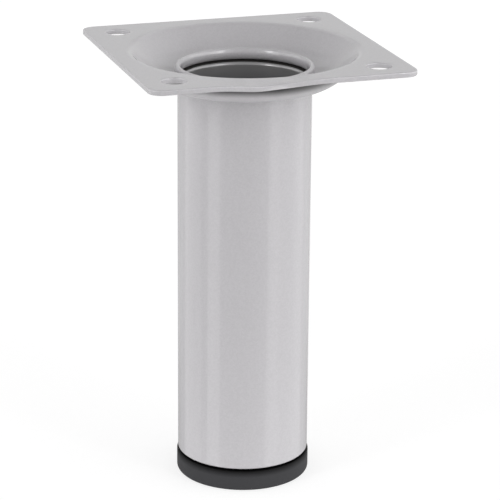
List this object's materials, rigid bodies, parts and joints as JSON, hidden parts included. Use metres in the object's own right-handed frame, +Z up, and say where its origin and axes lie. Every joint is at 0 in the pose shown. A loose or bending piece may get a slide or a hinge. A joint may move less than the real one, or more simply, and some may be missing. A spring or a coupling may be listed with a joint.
{
  "type": "furniture leg",
  "caption": "Round powder-coated steel furniture leg with a square pressed mounting plate, its tube end rolled into a drawn dish, and a black plastic levelling foot.",
  "frame": {"origin": "middle of the foot's sole, with the foot screwed right in", "axes": "+Z up along the tube to the plate's screwing face; X and Y along the plate's sides"},
  "size_m": [0.06, 0.06, 0.1],
  "materials": {
    "powder_coat": "silver-grey powder coat, satin",
    "black_plastic": "moulded, matt",
    "zinc_plated_steel": "bright zinc plate on a rolled thread"
  },
  "bodies": {
    "leg": {"mounting_plate": "powder_coat", "leg_tube": "powder_coat", "tube_bush": "black_plastic"},
    "foot": {"foot_base": "black_plastic", "foot_spindle": "zinc_plated_steel"}
  },
  "joints": [
    {"name": "foot_adjust", "type": "slide", "parent": "leg", "child": "foot", "axis": [0, 0, -1], "range_m": [0, 0.015]}
  ]
}
